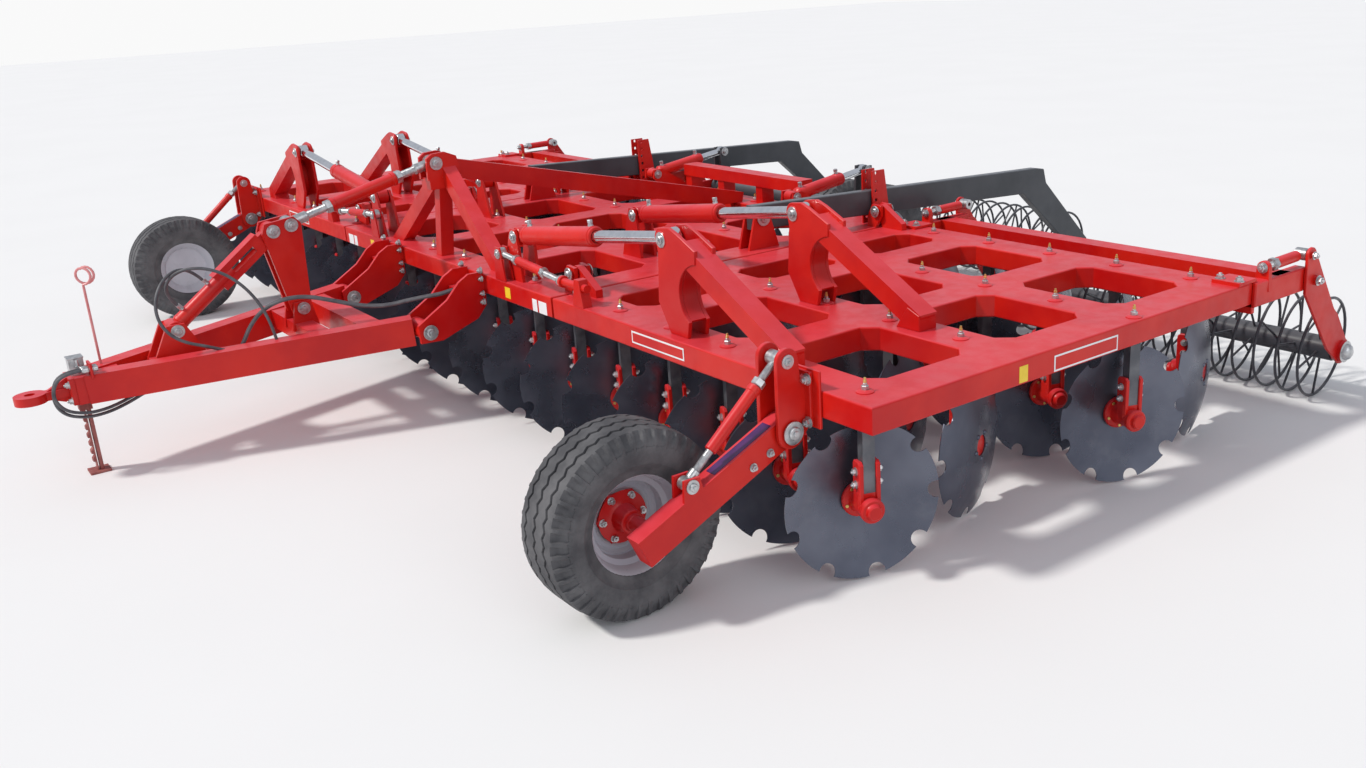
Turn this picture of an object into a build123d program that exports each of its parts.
from build123d import *
from math import atan2, cos, degrees, hypot, radians, sin
import os

# Towed folding disc harrow, eight metres wide, four rows of single discs.
# Millimetres. +X is the machine's left side, -Y is the way it travels, +Z is up.
# The floor is Z = 0. Inside this file Y = 0 is the first row of disc legs; the
# pieces are shifted along Y as they are written, so that the middle of the
# whole machine's box stands on the origin.

# ---------------------------------------------------------------- frame
FRAME_TOP = 800.0
BEAM_HIGH = 110.0
BEAM_WIDE = 220.0
FRAME_LOW = FRAME_TOP - BEAM_HIGH
FRAME_MID = FRAME_TOP - BEAM_HIGH / 2
ROW_PITCH = 750.0
ROWS = [row * ROW_PITCH for row in range(4)]
FRAME_REAR = ROWS[3] + BEAM_WIDE / 2
FRAME_FRONT = -BEAM_WIDE / 2
HALF_WIDTH = 3810.0
SEAM_X = 1450.0
SEAM_GAP = 10.0
BEAM_EDGE = 9.0
GUSSET = 62.0
WING_BEAMS_X = [
    HALF_WIDTH - BEAM_WIDE / 2, HALF_WIDTH - 920, HALF_WIDTH - 1720, SEAM_X + SEAM_GAP + BEAM_WIDE / 2
]
CENTRE_OUTER_X = SEAM_X - SEAM_GAP - BEAM_WIDE / 2
CENTRE_BEAMS_X = [-CENTRE_OUTER_X, -450.0, 450.0, CENTRE_OUTER_X]

# ---------------------------------------------------------------- discs
DISC_PITCH = 430.0
FIRST_DISC_X = 8.5 * DISC_PITCH
# one entry for each row: quarter pitches the row is shifted by, number of
# discs, and the side its hollow faces look to (+1 is +X)
ROW_TABLE = [(0, 18, 1), (-2, 17, -1), (1, 18, 1), (-1, 18, -1)]
ATTACK = 20.0
DISC_R = 325.0
DISC_THICK = 6.0
DISC_SAG = 52.0
DISC_FLAT_R = 80.0
DISC_Z = 332.0
DISC_OFFSET = 92.0
NOTCHES = 9
NOTCH_R = 27.0
LEG_SIDE = 50.0
FORK_TOP = DISC_Z + 190.0
HUB_R = 48.0
FLANGE_R = 66.0

# ---------------------------------------------------------------- wing fold
HINGE_Z = 900.0
HINGE_PIN_R = 20.0
HINGE_BOSS_R = 45.0
FOLD_ROWS = [ROWS[0], ROWS[1]]
FOLD_BASE = (980.0, 1040.0)
FOLD_TOWER = (2420.0, 1220.0)
FOLD_BARREL_R = 52.0
FOLD_ROD_R = 30.0
FOLD_BARREL_LONG = 795.0
TOWER_GAP = 76.0
STOP_Y = -85.0
STOP_EYE = (890.0, 945.0)
STOP_END_X = 1530.0
STOP_LUG_X = 1720.0

# ---------------------------------------------------------------- support wheels
WHEEL_R = 380.0
TYRE_WIDE = 264.0
RIM_R = 195.0
WHEEL_X = 3170.0
WHEEL_Y = -800.0
ARM_X = 3400.0
ARM_WIDE = 80.0
ARM_HIGH = 120.0
ARM_PIVOT = (-205.0, 640.0)
SCREW_TOP = (-215.0, 925.0)
SCREW_EAR = (-660.0, 545.0)

# ---------------------------------------------------------------- rollers
ROLLER_R = 275.0
ROLLER_Z = ROLLER_R
ROLLER_PITCH = 125.0
RING_BAR = 20.0
SHAFT_R = 62.0
WING_ROLLER_Y = 3220.0
ROLLER_BEAM = (2740.0, 745.0)
ROLLER_BEAM_SIDE = 100.0
END_PLATE = 16.0
END_PLATE_GAP = 44.0
SHAFT_END_R = 32.0
WING_ROLLER_X = (1560.0, 3788.0)
WING_SHAFT_END = 58.0
CENTRE_ROLLER_Y = 4250.0
CENTRE_ROLLER_X = (-1240.0, 1240.0)
CENTRE_SHAFT_END = 108.0
REAR_ARM_X = 1320.0
REAR_ARM_PIVOT = (1330.0, 975.0)

# ---------------------------------------------------------------- drawbar
DRAWBAR_PIN = (-460.0, 540.0)
DRAWBAR_X = 570.0
HITCH_Y = -2310.0
HITCH_Z = 455.0
HITCH_BORE_R = 25.0
DRAWBAR_HIGH = 150.0
DRAWBAR_WIDE = 110.0
JACK_Y = -2080.0
NOSE_FRONT = -2110.0
NOSE_REAR = -1890.0
ROCKER_LOW = (-930.0, 665.0)
ROCKER_FRONT = (-1015.0, 1105.0)
ROCKER_REAR = (-915.0, 1125.0)
STRUT_FOOT = (-1590.0, 670.0)
MAST_PIN = (-40.0, 1350.0)

# ---------------------------------------------------------------- transport axle
AXLE_PIVOT = (2640.0, 760.0)
AXLE_WHEEL = (3330.0, 400.0)
AXLE_WHEEL_R = 380.0
AXLE_TYRE_WIDE = 264.0
AXLE_WHEEL_X = 205.0
AXLE_HORN = (2640.0, 1030.0)
LIFT_BASE = (2010.0, 940.0)
LIFT_X = 800.0
AXLE_EAR_X = 900.0

FRONT_END = HITCH_Y - 75.0
REAR_END = CENTRE_ROLLER_Y + ROLLER_R
ORIGIN_Y = (FRONT_END + REAR_END) / 2

nodes = {}


def keep(name, *shapes):
    """Collect solids under a node's name."""
    solids = nodes.setdefault(name, [])
    for shape in shapes:
        solids.extend(shape.solids())


def joined(*shapes):
    """One fused shape."""
    first, *rest = shapes
    return first.fuse(*rest).clean() if rest else first


def block(low, high):
    """A box between two corners."""
    middle = [(a + b) / 2 for a, b in zip(low, high)]
    size = [abs(b - a) for a, b in zip(low, high)]
    return Pos(*middle) * Box(*size)


def rod(start, end, radius):
    """A round bar between two points."""
    start, end = Vector(*start), Vector(*end)
    along = end - start
    plane = Plane(origin=start, z_dir=along)
    return plane * extrude(Circle(radius), along.length)


def pipe(start, end, outer, inner):
    """A round tube between two points."""
    return rod(start, end, outer) - rod(start, end, inner)


def beam(start, end, wide, high):
    """A square-cut box beam between two points, its high side upright."""
    start, end = Vector(*start), Vector(*end)
    along = end - start
    flat = Vector(-along.Y, along.X, 0)
    if flat.length < 1e-6:
        flat = Vector(1, 0, 0)
    plane = Plane(origin=start, x_dir=flat, z_dir=along)
    return plane * extrude(Rectangle(wide, high), along.length)


def plate_yz(x_low, x_high, points, holes=()):
    """A plate whose outline is drawn in the YZ plane; holes are (y, z, radius)."""
    outline = make_face(Polyline(*[(0, y, z) for y, z in points], close=True))
    sheet = extrude(outline, amount=x_high - x_low, dir=(1, 0, 0))
    sheet = Pos(x_low, 0, 0) * sheet
    for y, z, radius in holes:
        sheet = sheet - rod((x_low - 5, y, z), (x_high + 5, y, z), radius)
    return sheet


def plate_xz(y_low, y_high, points, holes=()):
    """A plate whose outline is drawn in the XZ plane; holes are (x, z, radius)."""
    outline = make_face(Polyline(*[(x, 0, z) for x, z in points], close=True))
    sheet = extrude(outline, amount=y_high - y_low, dir=(0, 1, 0))
    sheet = Pos(0, y_low, 0) * sheet
    for x, z, radius in holes:
        sheet = sheet - rod((x, y_low - 5, z), (x, y_high + 5, z), radius)
    return sheet


def plate_xy(z_low, z_high, points):
    """A plate whose outline is drawn in the XY plane."""
    outline = make_face(Polyline(*[(x, y, 0) for x, y in points], close=True))
    return Pos(0, 0, z_low) * extrude(outline, amount=z_high - z_low, dir=(0, 0, 1))


def mirrored(shape):
    """The same shape on the machine's other side."""
    return mirror(shape, about=Plane.YZ)


# ================================================================ frames
def gussets(x_low, x_high, y_low, y_high):
    """Four corner triangles that cut off the corners of a bay between beams."""
    corners = [
        (x_low, y_low, 1, 1),
        (x_high, y_low, -1, 1),
        (x_low, y_high, 1, -1),
        (x_high, y_high, -1, -1),
    ]
    return [
        plate_xy(FRAME_LOW, FRAME_TOP, [(x, y), (x + dx * GUSSET, y), (x, y + dy * GUSSET)])
        for x, y, dx, dy in corners
    ]


def ladder(x_low, x_high, longitudinals):
    """A ladder frame of box beams with rounded edges: its cross beams and its long beams."""
    half = BEAM_WIDE / 2
    pieces = [block((x_low, y - half, FRAME_LOW), (x_high, y + half, FRAME_TOP)) for y in ROWS]
    spans = list(zip(ROWS, ROWS[1:]))
    for x in longitudinals:
        for front, rear in spans:
            pieces.append(block((x - half, front, FRAME_LOW), (x + half, rear, FRAME_TOP)))
    order = sorted(longitudinals)
    for left, right in zip(order, order[1:]):
        for front, rear in spans:
            pieces += gussets(left + half, right - half, front + half, rear - half)
    whole = joined(*pieces)
    flats = whole.faces().filter_by(Axis.Z).sort_by(Axis.Z)
    whole = fillet(flats[0].edges() + flats[-1].edges(), BEAM_EDGE)
    rows = [
        whole & block((x_low, y - half, FRAME_LOW), (x_high, y + half, FRAME_TOP)) for y in ROWS
    ]
    between = [
        whole & block((x_low, front + half, FRAME_LOW), (x_high, rear - half, FRAME_TOP))
        for front, rear in spans
    ]
    return rows, between


def centre_hinge_lug(y):
    """Two ears with a pin on the end of the centre section, at one cross beam."""
    inner = SEAM_X - 80
    outline = [
        (inner, FRAME_TOP), (SEAM_X - SEAM_GAP, FRAME_TOP), (SEAM_X + 38, HINGE_Z - 25),
        (SEAM_X + 38, HINGE_Z + 35), (SEAM_X - 38, HINGE_Z + 40), (inner, FRAME_TOP + 60),
    ]
    ears = [
        plate_xz(y + side * 36 - 10, y + side * 36 + 10, outline) for side in (-1, 1)
    ]
    pin = rod((SEAM_X, y - 60, HINGE_Z), (SEAM_X, y + 60, HINGE_Z), HINGE_PIN_R)
    return joined(ears[0], ears[1], pin)


def wing_hinge_lug(y):
    """The single ear on the wing that turns on the centre section's pin."""
    outline = [
        (SEAM_X + 20, FRAME_TOP), (SEAM_X + 190, FRAME_TOP), (SEAM_X + 190, FRAME_TOP + 40),
        (SEAM_X + 25, HINGE_Z + 38), (SEAM_X, HINGE_Z + HINGE_BOSS_R - 5), (SEAM_X - 30, HINGE_Z + 30),
        (SEAM_X - 40, HINGE_Z), (SEAM_X - 30, HINGE_Z - 30), (SEAM_X + 5, HINGE_Z - 42),
    ]
    return plate_xz(y - 20, y + 20, outline, holes=[(SEAM_X, HINGE_Z, HINGE_PIN_R + 0.05)])


HINGE_LUG_ROWS = [ROWS[0] + 60, ROWS[1] + 60, ROWS[2] + 60, ROWS[3] - 60]


def fold_base_lug(y):
    """The ears that hold one folding cylinder's base on the centre section."""
    x, z = FOLD_BASE
    outline = [
        (x - 130, FRAME_TOP), (x + 60, FRAME_TOP), (x + 40, z - 20),
        (x + 25, z + 40), (x - 30, z + 40), (x - 60, z - 20),
    ]
    return [
        plate_xz(y + side * 47 - 8, y + side * 47 + 8, outline, holes=[(x, z, 20.1)])
        for side in (-1, 1)
    ]


def centre_frame():
    """The ladder frame between the two wings."""
    rows, between = ladder(-(SEAM_X - SEAM_GAP), SEAM_X - SEAM_GAP, CENTRE_BEAMS_X)
    keep("centre_cross_beams", *rows)
    keep("centre_long_beams", *between)


def centre_ears():
    """The ears on the centre section for the wings, their cylinders, the drawbar and the arms."""
    pieces = []
    for y in HINGE_LUG_ROWS:
        lug = centre_hinge_lug(y)
        pieces += [lug, mirrored(lug)]
    for y in FOLD_ROWS:
        for ear in fold_base_lug(y):
            pieces += [ear, mirrored(ear)]
    for side in (-1, 1):
        for offset in (-100, 100):
            x = side * DRAWBAR_X + offset
            outline = [
                (FRAME_FRONT, FRAME_TOP + 15), (FRAME_FRONT, FRAME_LOW - 60),
                (FRAME_FRONT - 60, FRAME_LOW - 130), (DRAWBAR_PIN[0] + 70, DRAWBAR_PIN[1] - 60),
                (DRAWBAR_PIN[0] - 55, DRAWBAR_PIN[1] - 55), (DRAWBAR_PIN[0] - 60, DRAWBAR_PIN[1] + 45),
                (DRAWBAR_PIN[0] + 120, FRAME_LOW + 5), (FRAME_FRONT - 150, FRAME_TOP - 20),
                (FRAME_FRONT - 90, FRAME_TOP + 15),
            ]
            ear = plate_yz(x - 10, x + 10, outline, holes=[(*DRAWBAR_PIN, 22.1)])
            pieces.append(ear - block((x - 20, FRAME_FRONT, FRAME_LOW), (x + 20, 0, FRAME_TOP)))
        pieces.append(block(
            (side * DRAWBAR_X - 90, FRAME_FRONT - 130, FRAME_LOW + 20),
            (side * DRAWBAR_X + 90, FRAME_FRONT, FRAME_LOW + 38),
        ))
    for x in (REAR_ARM_X - 45, REAR_ARM_X + 43):
        ay, az = REAR_ARM_PIVOT
        outline = [(ay - 110, FRAME_TOP), (ay - 50, az + 45), (ay + 40, az + 45), (ay + 110, FRAME_TOP)]
        ear = plate_yz(x - 8, x + 8, outline, holes=[(ay, az, 25.1)])
        pieces += [ear, mirrored(ear)]
    stop_x, stop_z = STOP_EYE
    for offset in (-22, 22):
        outline = [
            (stop_x - 60, FRAME_TOP), (stop_x - 30, stop_z + 36), (stop_x + 25, stop_z + 36),
            (stop_x + 60, FRAME_TOP),
        ]
        ear = plate_xz(STOP_Y + offset - 4, STOP_Y + offset + 4, outline, holes=[(stop_x, stop_z, 16.5)])
        pieces += [ear, mirrored(ear)]
    keep("centre_ears", *pieces)


def wing_ears():
    """The hinge ears of one wing and the fork that its stop rod pushes on."""
    pieces = [wing_hinge_lug(y) for y in HINGE_LUG_ROWS]
    x, z = STOP_LUG_X, HINGE_Z - 5
    outline = [(x - 50, FRAME_TOP), (x - 22, z + 40), (x + 22, z + 40), (x + 50, FRAME_TOP)]
    fork = [
        plate_xz(STOP_Y - 25, STOP_Y + 25, outline),
        rod((STOP_END_X + 6, STOP_Y, z), (x + 60, STOP_Y, z), 20),
        rod((STOP_END_X + 6, STOP_Y, z), (STOP_END_X + 24, STOP_Y, z), 30),
    ]
    return pieces + [joined(*fork)]


def wing_tower(y):
    """The tower that a folding cylinder pulls on: two plates, a foot and a brace."""
    x, z = FOLD_TOWER
    outline = [
        (x - 55, FRAME_TOP), (x + 150, FRAME_TOP), (x + 150, FRAME_TOP + 90),
        (x + 95, z - 190), (x + 150, z - 90), (x + 150, z + 20),
        (x + 60, z + 50), (x - 30, z + 45), (x - 50, z), (x - 45, z - 120),
    ]
    pieces = [
        plate_xz(y + side * (TOWER_GAP / 2 + 10) - 10, y + side * (TOWER_GAP / 2 + 10) + 10,
                 outline, holes=[(x, z, 20.1)])
        for side in (-1, 1)
    ]
    foot_x = x + 520
    brace = beam((x + 145, y, z - 20), (foot_x, y, FRAME_TOP - 10), TOWER_GAP + 40, 95)
    brace = brace - block((x, y - 200, FRAME_TOP - 200), (foot_x + 200, y + 200, FRAME_TOP))
    pieces.append(brace)
    return joined(*pieces)


# ================================================================ mast
def mast():
    """The central tower over the front beam and its long brace to the rear beam."""
    y, z = MAST_PIN
    pieces = []
    for side in (-1, 1):
        x = side * 52
        outline = [
            (y - 60, z - 95), (y - 55, z + 30), (y - 20, z + 55), (y + 60, z + 60),
            (y + 130, z + 30), (y + 150, z - 70),
        ]
        pieces.append(plate_yz(x - 10, x + 10, outline, holes=[(y, z, 22.1)]))
    for foot_x in (-740.0, 740.0):
        pieces.append(beam((foot_x, 0, FRAME_TOP - 30), (foot_x * 0.04, 40, z - 60), 80, 90))
    middle = beam((0, -30, FRAME_TOP - 30), (0, 20, z - 90), 70, 80)
    pieces.append(middle)
    pieces.append(block((-62, y - 50, z - 150), (62, y + 150, z - 85)))
    pieces.append(beam((0, 60, z - 40), (0, ROWS[3] - 60, FRAME_TOP + 10), 84, 110))
    whole = joined(*pieces)
    floor_cut = block((-1500, -600, 300), (1500, 3000, FRAME_TOP))
    whole = whole - floor_cut
    keep("mast", whole)


# ================================================================ disc gangs
def disc_blade():
    """One notched, dished disc about the X axis, hollow towards +X, centre at 0."""
    ball = (DISC_R ** 2 - DISC_FLAT_R ** 2) / (2 * DISC_SAG)
    mid_r = (DISC_R + DISC_FLAT_R) / 2
    mid_sag = (mid_r ** 2 - DISC_FLAT_R ** 2) / (2 * ball)
    front = ThreePointArc((DISC_FLAT_R, 0), (mid_r, mid_sag), (DISC_R, DISC_SAG))
    back = ThreePointArc(
        (DISC_R, DISC_SAG - DISC_THICK), (mid_r, mid_sag - DISC_THICK), (DISC_FLAT_R, -DISC_THICK)
    )
    profile = make_face([
        Line((0, 0), (DISC_FLAT_R, 0)), front,
        Line((DISC_R, DISC_SAG), (DISC_R, DISC_SAG - DISC_THICK)), back,
        Line((DISC_FLAT_R, -DISC_THICK), (0, -DISC_THICK)), Line((0, -DISC_THICK), (0, 0)),
    ])
    dish = revolve(profile, Axis.Y)
    for index in range(NOTCHES):
        turn = 360 / NOTCHES * index
        cut = Rot(0, turn, 0) * Pos(DISC_R, 0, 0) * Rot(90, 0, 0) * Cylinder(NOTCH_R, 200)
        dish = dish - cut
    return Rot(0, 0, -90) * dish


BLADE = disc_blade()


def disc_hub():
    """A hub about the X axis with its flange behind, and the fork round the leg."""
    pieces = [
        rod((-DISC_OFFSET + 12, 0, 0), (62, 0, 0), HUB_R),
        rod((-DISC_OFFSET, 0, 0), (-DISC_OFFSET + 14, 0, 0), FLANGE_R),
        rod((62, 0, 0), (74, 0, 0), 38),
        block((-25, -60, 0), (25, 60, 62)),
    ]
    for side in (-1, 1):
        pieces.append(block(
            (-34, side * 25, 30), (34, side * 47, FORK_TOP - DISC_Z),
        ))
        pieces.append(rod((0, side * 47, 150), (0, side * 60, 150), 16))
        pieces.append(rod((0, side * 47, 95), (0, side * 60, 95), 16))
    return joined(*pieces)


HUB = disc_hub()
LEG_LOW = 62.0


def disc_leg():
    """The upright square bar from the cross beam down into the fork."""
    return block((-25, -25, LEG_LOW), (25, 25, FRAME_LOW - DISC_Z))


LEG = disc_leg()


def disc_units():
    """Every disc unit's place: its leg's X and Y and the side it looks to."""
    units = []
    for row, (quarters, count, side) in enumerate(ROW_TABLE):
        first = FIRST_DISC_X + quarters * DISC_PITCH / 4
        for index in range(count):
            units.append((first - index * DISC_PITCH, ROWS[row], side))
    return units


def section_of(x):
    """The section of the machine that carries a leg at this X."""
    if x > SEAM_X:
        return "left"
    if x < -SEAM_X:
        return "right"
    return "centre"


def disc_gangs():
    """All legs, hubs and discs, one node of each for each section."""
    for x, y, side in disc_units():
        section = section_of(x)
        turn = -ATTACK if side > 0 else 180 + ATTACK
        place = Pos(x, y, DISC_Z) * Rot(0, 0, turn)
        keep(section + "_disc_legs", place * LEG)
        keep(section + "_disc_hubs", place * HUB)
        keep(section + "_discs", place * Pos(-DISC_OFFSET, 0, 0) * BLADE)


# ================================================================ folding cylinders
def eye(centre, half, outer, inner):
    """A bearing ring along Y at a point."""
    x, y, z = centre
    return pipe((x, y - half, z), (x, y + half, z), outer, inner)


def fold_cylinder(y):
    """The barrel and the rod of one folding cylinder, as they lie with the wing down."""
    bx, bz = FOLD_BASE
    tx, tz = FOLD_TOWER
    long = hypot(tx - bx, tz - bz)
    ux, uz = (tx - bx) / long, (tz - bz) / long

    def at(distance):
        return (bx + ux * distance, y, bz + uz * distance)

    base_pin = rod((bx, y - 57, bz), (bx, y + 57, bz), 20)
    shell = pipe(at(62), at(FOLD_BARREL_LONG), FOLD_BARREL_R, FOLD_ROD_R + 6)
    shell = joined(shell, rod(at(62), at(86), FOLD_BARREL_R), rod(at(30), at(70), 30))
    gland = pipe(at(FOLD_BARREL_LONG - 60), at(FOLD_BARREL_LONG), FOLD_BARREL_R, FOLD_ROD_R + 0.5)
    barrel = joined(shell, gland, eye((bx, y, bz), 34, 48, 19), base_pin)
    inside = FOLD_BARREL_LONG - 62
    shaft = rod(at(inside), at(long - 40), FOLD_ROD_R)
    head = eye((tx, y, tz), 30, 46, 21)
    return barrel, joined(shaft, head)


def fold_cylinders():
    """Both cylinders of each wing."""
    for y in FOLD_ROWS:
        barrel, shaft = fold_cylinder(y)
        keep("left_fold_barrels", barrel)
        keep("left_fold_rods", shaft)
        keep("right_fold_barrels", mirrored(barrel))
        keep("right_fold_rods", mirrored(shaft))


# ================================================================ support wheels
def tyre(centre, radius, bead, wide):
    """A solid-walled tyre about the X axis with rounded shoulders."""
    half = wide / 2
    profile = make_face(Polyline(
        (bead, -half * 0.72), (bead + 40, -half * 0.97), (radius - 80, -half),
        (radius - 22, -half * 0.84), (radius, -half * 0.5), (radius, half * 0.5),
        (radius - 22, half * 0.84), (radius - 80, half), (bead + 40, half * 0.97),
        (bead, half * 0.72), close=True,
    ))
    ring = revolve(profile, Axis.Y)
    return Pos(*centre) * Rot(0, 0, -90) * ring


def rim(centre, bead, wide, face):
    """A wheel rim with its disc at the side that face points to, and its hub."""
    half = wide / 2 * 0.72
    barrel = pipe((-half, 0, 0), (half, 0, 0), bead, bead - 22)
    disc_x = -face * half * 0.35
    web = rod((disc_x - 6, 0, 0), (disc_x + 6, 0, 0), bead - 10)
    hub = rod((disc_x - face * 30, 0, 0), (face * (half + 5), 0, 0), 52)
    flange = rod((disc_x, 0, 0), (disc_x + face * 20, 0, 0), 82)
    return Pos(*centre) * joined(barrel, web, hub, flange)


def arm_local(distance, offset):
    """A point on the support wheel's arm, along it from its pivot and across it."""
    py, pz = ARM_PIVOT
    ay, az = WHEEL_Y - py, WHEEL_R - pz
    long = hypot(ay, az)
    uy, uz = ay / long, az / long
    return (py + uy * distance - uz * offset * -1, pz + uz * distance + uy * offset * -1)


def support_wheel():
    """One support wheel: bracket, arm, axle, adjusting screw, rim and tyre."""
    py, pz = ARM_PIVOT
    ty, tz = SCREW_TOP
    parts = {}
    cheeks = []
    for side in (-1, 1):
        x = ARM_X + side * (ARM_WIDE / 2 + 16)
        outline = [
            (FRAME_FRONT, FRAME_LOW - 35), (py + 55, pz - 35), (py - 30, pz - 65), (py - 60, pz - 20),
            (ty - 55, tz - 30), (ty - 45, tz + 40), (ty + 20, tz + 52), (FRAME_FRONT, FRAME_TOP + 30),
        ]
        cheeks.append(plate_yz(x - 10, x + 10, outline, holes=[(py, pz, 26.1), (ty, tz, 16.1)]))
    bolt_rows = (FRAME_LOW - 14, FRAME_TOP + 20)
    front = block(
        (ARM_X - 66, FRAME_FRONT - 16, FRAME_LOW - 35), (ARM_X + 66, FRAME_FRONT, FRAME_TOP + 30)
    )
    back = block(
        (ARM_X - 95, -FRAME_FRONT, FRAME_LOW - 28), (ARM_X + 95, -FRAME_FRONT + 22, FRAME_TOP + 50)
    )
    bolts = [
        rod((ARM_X + side * 75, FRAME_FRONT - 14, z), (ARM_X + side * 75, -FRAME_FRONT + 40, z), 12)
        for side in (-1, 1) for z in bolt_rows
    ]
    flange = [
        block((ARM_X + side * 60, FRAME_FRONT - 14, z - 22), (ARM_X + side * 95, FRAME_FRONT, z + 22))
        for side in (-1, 1) for z in bolt_rows
    ]
    bracket = joined(*cheeks, front, *flange, *bolts, back)
    parts["wheel_bracket"] = bracket

    arm_y, arm_z = arm_local(hypot(WHEEL_Y - py, WHEEL_R - pz) + 90, 0)
    arm = beam((ARM_X, py, pz), (ARM_X, arm_y, arm_z), ARM_WIDE, ARM_HIGH)
    pivot = rod((ARM_X - 75, py, pz), (ARM_X + 75, py, pz), 26)
    boss = rod((ARM_X - ARM_WIDE / 2, py, pz), (ARM_X + ARM_WIDE / 2, py, pz), ARM_HIGH / 2)
    axle = rod((WHEEL_X + 40, WHEEL_Y, WHEEL_R), (ARM_X - 10, WHEEL_Y, WHEEL_R), 32)
    ey, ez = SCREW_EAR
    ears = [
        plate_yz(
            ARM_X + side * 34 - 6, ARM_X + side * 34 + 6,
            [(ey - 45, ez - 150), (ey - 35, ez + 30), (ey + 35, ez + 30), (ey + 75, ez - 120)],
            holes=[(ey, ez, 13)],
        )
        for side in (-1, 1)
    ]
    parts["wheel_arm"] = joined(arm, pivot, boss, axle, *ears)

    long = hypot(ey - ty, ez - tz)
    uy, uz = (ey - ty) / long, (ez - tz) / long

    def at(distance):
        return (ARM_X, ty + uy * distance, tz + uz * distance)

    cross = rod((ARM_X - 64, ty, tz), (ARM_X + 64, ty, tz), 16)
    tube = pipe(at(90), at(long - 150), 24, 15.5)
    top_rod = rod(at(10), at(110), 15)
    cap = rod(at(90), at(100), 24)
    parts["wheel_screw_tube"] = joined(tube, top_rod, cap, cross)
    spindle = rod(at(185), at(long - 18), 15)
    head = pipe((ARM_X - 24, ey, ez), (ARM_X + 24, ey, ez), 26, 13)
    parts["wheel_screw_rod"] = joined(spindle, head)

    centre = (WHEEL_X, WHEEL_Y, WHEEL_R)
    hub_bore = rod((WHEEL_X + 30, WHEEL_Y, WHEEL_R), (ARM_X, WHEEL_Y, WHEEL_R), 32.05)
    parts["support_rim"] = rim(centre, RIM_R, TYRE_WIDE, 1) - hub_bore
    parts["support_tyre"] = tyre(centre, WHEEL_R, RIM_R, TYRE_WIDE)
    return parts


# ================================================================ rollers
def ring_roller(x_low, x_high, y, shaft_end):
    """A shaft with rings on spokes; each ring is one bar bent round."""
    z = ROLLER_Z
    pieces = [rod((x_low - shaft_end, y, z), (x_high + shaft_end, y, z), SHAFT_END_R)]
    pieces.append(rod((x_low - 20, y, z), (x_high + 20, y, z), SHAFT_R))
    count = int((x_high - x_low) // ROLLER_PITCH)
    start = (x_low + x_high - count * ROLLER_PITCH) / 2
    ring = rod((-RING_BAR / 2, 0, 0), (RING_BAR / 2, 0, 0), ROLLER_R)
    ring = ring - rod((-RING_BAR, 0, 0), (RING_BAR, 0, 0), ROLLER_R - RING_BAR)
    spokes = []
    for quarter in range(4):
        spoke = block((-6, -9, SHAFT_R - 4), (6, 9, ROLLER_R - RING_BAR / 2))
        spokes.append(Rot(90 * quarter, 0, 0) * spoke)
    wheel = joined(ring, *spokes)
    for index in range(count + 1):
        pieces.append(Pos(start + index * ROLLER_PITCH, y, z) * Rot(23 * index, 0, 0) * wheel)
    return joined(*pieces)


def wing_roller_frame():
    """The beam, arms, clamps and end plates that carry one wing's roller."""
    y, z = WING_ROLLER_Y, ROLLER_Z
    by, bz = ROLLER_BEAM
    side_x = ROLLER_BEAM_SIDE / 2
    x_low, x_high = WING_ROLLER_X[0] - END_PLATE_GAP, HALF_WIDTH + END_PLATE_GAP / 2
    pieces = [block((x_low, by - side_x, bz - side_x), (x_high, by + side_x, bz + side_x))]
    for x in (x_low + 100, x_high - 85):
        pieces.append(block((x - 45, FRAME_REAR, FRAME_LOW), (x + 45, by - side_x + 5, bz + side_x)))
        pieces.append(block((x - 75, FRAME_REAR - 100, FRAME_TOP), (x + 75, FRAME_REAR + 24, FRAME_TOP + 20)))
        pieces.append(block((x - 75, FRAME_REAR, FRAME_LOW - 10), (x + 75, FRAME_REAR + 24, FRAME_TOP + 5)))
    for x, side in ((x_low, -1), (x_high, 1)):
        outline = [
            (by - 60, bz + 20), (by - 55, bz + 60), (by + 70, bz + 110), (by + 130, bz + 95),
            (by + 270, bz - 30), (y + 45, z + 85), (y + 75, z), (y + 45, z - 70), (y - 45, z - 65),
            (y - 110, z + 20), (by + 120, bz - 90), (by - 30, bz - 60),
        ]
        inner, outer = sorted((x, x + side * END_PLATE))
        pieces.append(plate_yz(inner, outer, outline, holes=[(y, z, SHAFT_END_R + 0.05)]))
    return joined(*pieces)


def rear_arms():
    """The two long arms over the frame that carry the centre roller."""
    pieces = []
    y, z = CENTRE_ROLLER_Y, ROLLER_Z
    for side in (-1, 1):
        x = side * REAR_ARM_X
        outline = [
            (1270.0, 1050.0), (1270.0, 910.0), (3620.0, 785.0), (y - 110, z + 60),
            (y - 70, z - 45), (y + 20, z - 75), (y + 90, z - 10), (y + 80, z + 90),
            (3860.0, 830.0), (3830.0, 930.0), (3750.0, 945.0),
        ]
        pieces.append(plate_yz(x - 30, x + 30, outline, holes=[(y, z, SHAFT_END_R + 0.05)]))
        ay, az = REAR_ARM_PIVOT
        pieces.append(rod((x - 60, ay, az), (x + 60, ay, az), 25))
    pieces.append(block((-REAR_ARM_X, 3800.0, 810.0), (REAR_ARM_X, 3900.0, 900.0)))
    keep("rear_arms", joined(*pieces))


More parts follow.
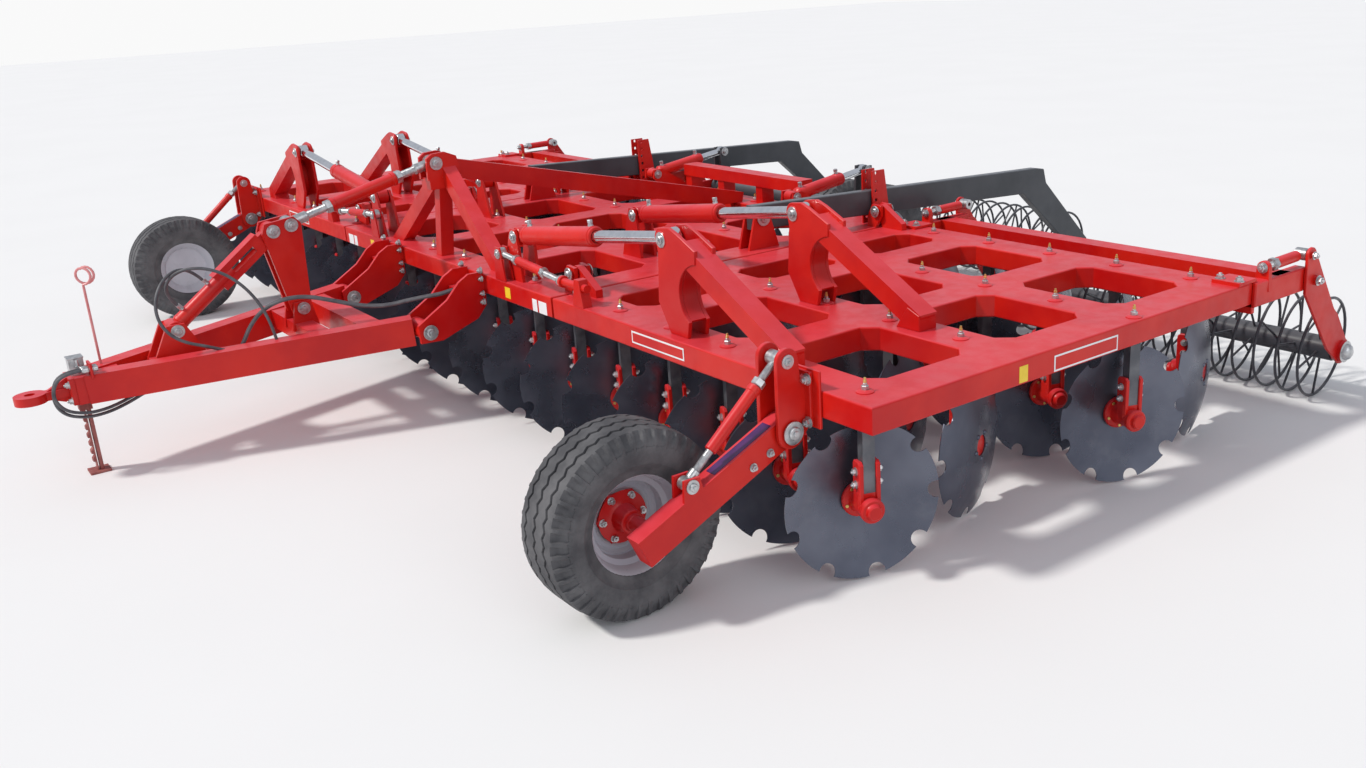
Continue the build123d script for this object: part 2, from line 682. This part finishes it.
# ================================================================ drawbar
def drawbar():
    """Two beams from the frame's ears to the hitch, and the nose and cross members between them."""
    py, pz = DRAWBAR_PIN
    nose_z = HITCH_Z + 10
    nose = block((-95, NOSE_FRONT, nose_z - 70), (95, NOSE_REAR, nose_z + 70))
    beams = []
    for side in (-1, 1):
        start = (side * (DRAWBAR_X - 14), py - 45, pz - 2)
        end = (side * 50.0, NOSE_REAR - 160, nose_z)
        arm = joined(
            beam(start, end, DRAWBAR_WIDE, DRAWBAR_HIGH),
            rod((side * DRAWBAR_X - 82, py, pz), (side * DRAWBAR_X + 82, py, pz), 52),
            rod((side * DRAWBAR_X - 125, py, pz), (side * DRAWBAR_X + 125, py, pz), 22),
        )
        middle_cut = block((0, NOSE_FRONT - 100, 0), (-side * 300, NOSE_REAR + 200, 900))
        beams.append(arm - nose - middle_cut)
    cross = [block((-470, -760, pz - 60), (470, -640, pz + 60))]
    cross.append(block((-360, -990, pz - 55), (360, -890, pz + 45)))
    ry, rz = ROCKER_LOW
    fy, fz = STRUT_FOOT
    foot = [block((-160, fy - 140, nose_z - 10), (160, fy + 140, nose_z + 60))]
    for side in (-1, 1):
        x = side * 75
        outline = [(ry - 70, pz), (ry - 45, rz + 35), (ry + 45, rz + 35), (ry + 80, pz)]
        cross.append(plate_yz(x - 10, x + 10, outline, holes=[(ry, rz, 20.1)]))
        x = side * 72
        outline = [(fy - 160, nose_z + 20), (fy - 50, fz + 35), (fy + 40, fz + 35), (fy + 150, nose_z + 20)]
        foot.append(plate_yz(x - 10, x + 10, outline, holes=[(fy, fz, 20.1)]))
    jack_hole = block((-30, JACK_Y - 30, 0), (30, JACK_Y + 30, 1000))
    keep("drawbar_beams", *[arm - jack_hole for arm in beams])
    for piece in (nose - jack_hole, joined(*cross), joined(*foot)):
        keep("drawbar_members", piece - beams[0] - beams[1])


def hitch_eye():
    """The bolted hitch plate with its upright bore."""
    y, z = HITCH_Y, HITCH_Z
    face = NOSE_FRONT - 25
    neck = block((-28, y + 50, z - 22), (28, face, z + 22))
    web = plate_yz(-12, 12, [(face, z - 60), (face, z + 75), (y + 60, z + 15), (y + 60, z - 15)])
    back = block((-85, face, z - 60), (85, NOSE_FRONT, z + 80))
    ring = rod((0, y, z - 22), (0, y, z + 22), 75)
    whole = joined(neck, web, back, ring) - rod((0, y, z - 60), (0, y, z + 60), HITCH_BORE_R)
    keep("hitch_eye", whole)


def jack():
    """The parking jack: a tube in the drawbar's nose and the leg that slides in it."""
    y = JACK_Y
    tube = block((-30, y - 30, 395), (30, y + 30, 705)) - block((-23, y - 23, 300), (23, y + 23, 695))
    keep("jack_tube", tube)
    leg = block((-22.5, y - 22.5, 12), (22.5, y + 22.5, 440))
    foot = block((-75, y - 75, 0), (75, y + 75, 12))
    keep("jack_leg", joined(leg, foot))


def rocker():
    """The rocker that joins the drawbar strut to the levelling link."""
    ry, rz = ROCKER_LOW
    fy, fz = ROCKER_FRONT
    by, bz = ROCKER_REAR
    pieces = []
    for side in (-1, 1):
        x = side * 50
        outline = [
            (ry - 50, rz - 30), (fy - 60, fz - 10), (fy - 40, fz + 45), (by + 20, bz + 45),
            (by + 55, bz + 5), (ry + 55, rz - 30),
        ]
        pieces.append(plate_yz(
            x - 10, x + 10, outline, holes=[(fy, fz, 20.1), (by, bz, 20.1)]
        ))
    pieces.append(rod((-92, ry, rz), (92, ry, rz), 20))
    pieces.append(block((-42, ry - 30, rz + 60), (42, ry + 30, fz - 170)))
    keep("rocker", joined(*pieces))


def drawbar_strut():
    """The cylinder between the drawbar and the rocker, its head in a square tube."""
    sy, sz = STRUT_FOOT
    fy, fz = ROCKER_FRONT
    long = hypot(fy - sy, fz - sz)
    uy, uz = (fy - sy) / long, (fz - sz) / long

    def at(distance):
        return (0, sy + uy * distance, sz + uz * distance)

    barrel = joined(
        rod(at(35), at(430), 42),
        rod((-60, sy, sz), (60, sy, sz), 46),
        rod((-85, sy, sz), (85, sy, sz), 20),
    )
    keep("strut_barrel", barrel)
    outer = beam(at(330), at(long - 75), 78, 104)
    inner = rod(at(300), at(long - 130), 42.5)
    head = pipe((-39.6, fy, fz), (39.6, fy, fz), 46, 19)
    neck = beam(at(long - 120), at(long - 30), 60, 60)
    keep("strut_head", joined(outer - inner, neck, head))


def levelling_link():
    """The long turnbuckle between the mast and the rocker."""
    my, mz = MAST_PIN
    by, bz = ROCKER_REAR
    long = hypot(by - my, bz - mz)
    uy, uz = (by - my) / long, (bz - mz) / long

    def at(distance):
        return (0, my + uy * distance, mz + uz * distance)

    tube = rod(at(260), at(long - 260), 36)
    shafts = [rod(at(35), at(280), 22), rod(at(long - 280), at(long - 35), 22)]
    collars = [rod(at(235), at(262), 42), rod(at(long - 262), at(long - 235), 42)]
    mast_eye = rod((-38, my, mz), (38, my, mz), 42)
    mast_pin = rod((-72, my, mz), (72, my, mz), 22)
    rocker_eye = pipe((-34, by, bz), (34, by, bz), 42, 21)
    keep("levelling_link", joined(tube, *shafts, *collars, mast_eye, mast_pin, rocker_eye))


# ================================================================ transport axle
def rear_bridge():
    """The raised cross beam behind the mast, the lift cylinders' ears and the arm guides."""
    y = ROWS[3]
    pieces = [block((-660, y - 60, FRAME_TOP + 120), (660, y + 60, FRAME_TOP + 200))]
    for x in (-620, -220, 220, 620):
        pieces.append(block((x - 35, y - 50, FRAME_TOP), (x + 35, y + 50, FRAME_TOP + 130)))
    by, bz = LIFT_BASE
    for side in (-1, 1):
        for offset in (-53, 53):
            x = side * LIFT_X + offset
            outline = [
                (by - 38, bz - 30), (by - 30, bz + 36), (by + 38, bz + 36), (y + 90, FRAME_TOP),
                (y - BEAM_WIDE / 2, FRAME_TOP), (y - BEAM_WIDE / 2, FRAME_TOP - 70),
            ]
            pieces.append(plate_yz(x - 8, x + 8, outline, holes=[(by, bz, 18.1)]))
    for side in (-1, 1):
        for offset in (-44, 44):
            x = side * REAR_ARM_X + offset
            outline = [
                (y - 60, FRAME_TOP), (y - 60, FRAME_TOP + 330), (y + 40, FRAME_TOP + 330), (y + 90, FRAME_TOP),
            ]
            holes = [(y - 30, FRAME_TOP + 40 + 55 * step, 11) for step in range(6)]
            pieces.append(plate_yz(x - 5, x + 5, outline, holes=holes))
    keep("rear_bridge", joined(*pieces))


def transport_axle():
    """The bell crank behind the frame that carries the twin transport wheels."""
    py, pz = AXLE_PIVOT
    wy, wz = AXLE_WHEEL
    hy, hz = AXLE_HORN
    tube = rod((-AXLE_EAR_X + 20, py, pz), (AXLE_EAR_X - 20, py, pz), 55)
    leg = beam((0, py, pz), (0, wy, wz), 90, 120)
    stub = rod((-330, wy, wz), (330, wy, wz), 34)
    horns = []
    for side in (-1, 1):
        for offset in (-38, 38):
            x = side * LIFT_X + offset
            outline = [(py - 55, pz), (hy - 35, hz + 30), (hy + 35, hz + 30), (py + 55, pz)]
            horns.append(plate_yz(x - 8, x + 8, outline, holes=[(hy, hz, 18.1)]))
    pins = [
        rod((side * (AXLE_EAR_X - 20), py, pz), (side * (AXLE_EAR_X + 35), py, pz), 28) for side in (-1, 1)
    ]
    keep("transport_axle", joined(tube, leg, stub, *horns, *pins))
    for side in (-1, 1):
        ear = [
            (ROWS[3] + BEAM_WIDE / 2, FRAME_TOP), (ROWS[3] + BEAM_WIDE / 2, FRAME_LOW),
            (py + 20, pz - 60), (py + 60, pz), (py + 20, pz + 50),
        ]
        plate = plate_yz(side * AXLE_EAR_X - 12, side * AXLE_EAR_X + 12, ear, holes=[(py, pz, 28.05)])
        keep("centre_ears", plate)
        centre = (side * AXLE_WHEEL_X, wy, wz)
        bore = rod((-360, wy, wz), (360, wy, wz), 34.05)
        keep("transport_rims", rim(centre, RIM_R, AXLE_TYRE_WIDE, -side) - bore)
        keep("transport_tyres", tyre(centre, AXLE_WHEEL_R, RIM_R, AXLE_TYRE_WIDE))
    for side in (-1, 1):
        x = side * LIFT_X
        by, bz = LIFT_BASE
        long = hypot(hy - by, hz - bz)
        uy, uz = (hy - by) / long, (hz - bz) / long

        def at(distance):
            return (x, by + uy * distance, bz + uz * distance)

        barrel = joined(
            pipe(at(60), at(440), 42, 27), rod(at(30), at(80), 42),
            pipe(at(390), at(440), 42, 25.5), rod((x - 36, by, bz), (x + 36, by, bz), 38),
            rod((x - 63, by, bz), (x + 63, by, bz), 18),
        )
        keep("lift_barrels", barrel)
        shaft = joined(rod(at(130), at(long - 25), 25), pipe((x - 18, hy, hz), (x + 18, hy, hz), 36, 19))
        keep("lift_rods", shaft)


# ================================================================ small static pieces
def wing_stops():
    """The adjustable stop rods from the centre section's ears to the wings."""
    start_x, start_z = STOP_EYE
    end_x, end_z = STOP_END_X, HINGE_Z - 5
    long = hypot(end_x - start_x, end_z - start_z)

    def at(distance):
        share = distance / long
        return (start_x + (end_x - start_x) * share, STOP_Y, start_z + (end_z - start_z) * share)

    pieces = [
        rod((start_x, STOP_Y - 17.7, start_z), (start_x, STOP_Y + 17.7, start_z), 32),
        rod((start_x, STOP_Y - 26, start_z), (start_x, STOP_Y + 26, start_z), 15.9),
        rod(at(20), at(200), 15),
        rod(at(190), at(440), 24),
        rod(at(430), at(long - 12), 15),
        rod(at(long - 20), at(long), 28),
    ]
    stop = joined(*pieces)
    keep("wing_stops", stop, mirrored(stop))


def write_nodes():
    """Shift every node so that the origin is under the box's middle, and write it."""
    os.makedirs("parts", exist_ok=True)
    shift = Pos(0, -ORIGIN_Y, 0)
    for name, solids in nodes.items():
        moved = [shift * solid for solid in solids]
        shape = moved[0] if len(moved) == 1 else Compound(children=moved)
        export_step(shape, os.path.join("parts", name + ".step"))


centre_frame()
centre_ears()
mast()
disc_gangs()
fold_cylinders()

left_rows, left_between = ladder(SEAM_X + SEAM_GAP, HALF_WIDTH, WING_BEAMS_X)
left_parts = {
    "cross_beams": Compound(children=left_rows),
    "long_beams": Compound(children=left_between),
    "ears": Compound(children=wing_ears()),
}
left_parts["wing_towers"] = Compound(children=[wing_tower(y) for y in FOLD_ROWS])
left_parts.update(support_wheel())
left_parts["wing_roller"] = ring_roller(*WING_ROLLER_X, WING_ROLLER_Y, WING_SHAFT_END)
left_parts["roller_frame"] = wing_roller_frame()
for part_name, part in left_parts.items():
    keep("left_" + part_name, part)
    keep("right_" + part_name, mirrored(part))

keep("centre_roller", ring_roller(*CENTRE_ROLLER_X, CENTRE_ROLLER_Y, CENTRE_SHAFT_END))
rear_arms()
drawbar()
hitch_eye()
jack()
rocker()
drawbar_strut()
levelling_link()
rear_bridge()
transport_axle()
wing_stops()
write_nodes()
print("origin_y", ORIGIN_Y)
